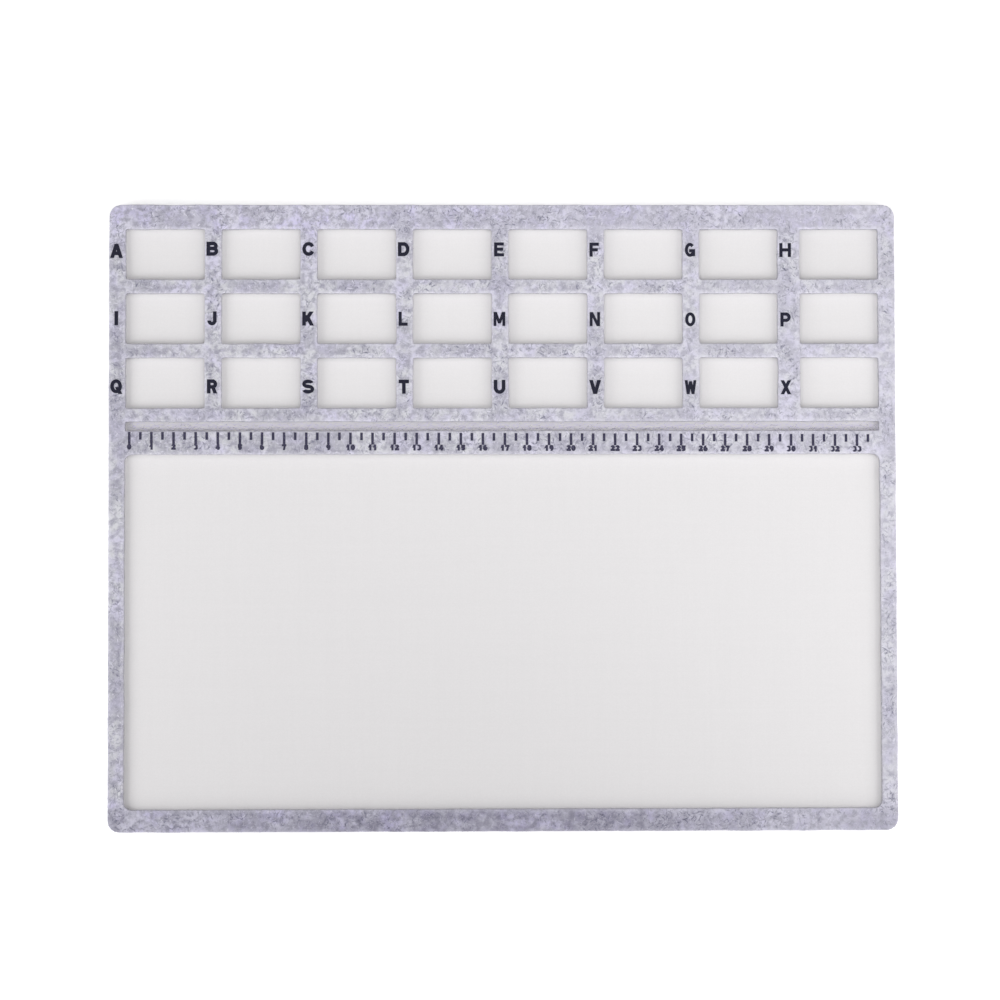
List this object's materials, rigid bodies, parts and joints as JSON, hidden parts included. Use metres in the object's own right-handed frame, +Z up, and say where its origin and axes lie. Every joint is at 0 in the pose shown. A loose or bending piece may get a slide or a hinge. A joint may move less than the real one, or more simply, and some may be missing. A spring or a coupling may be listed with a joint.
{
  "type": "bead mat",
  "caption": "Flat felt bead mat: a frame with rows of lettered bead cells, a slim groove, a printed ruler and a large work window over an off-white cloth on a felt base.",
  "frame": {"origin": "middle of the underside, on the surface the mat lies on", "axes": "+X along the rows of cells from left to right, +Y from the work window towards the cells, +Z up out of the work cloth"},
  "size_m": [0.357, 0.284, 0.0065],
  "materials": {
    "felt": "heathered needle felt, matte, softly fuzzy at cut edges",
    "cloth": "off-white brushed cloth, matte",
    "glue": "set hot-melt film, milky",
    "ink": "flat black print"
  },
  "bodies": {
    "root": {"felt_base": "felt", "base_glue_film": "glue", "work_cloth": "cloth", "frame_glue_film": "glue", "felt_frame": "felt"}
  },
  "joints": []
}
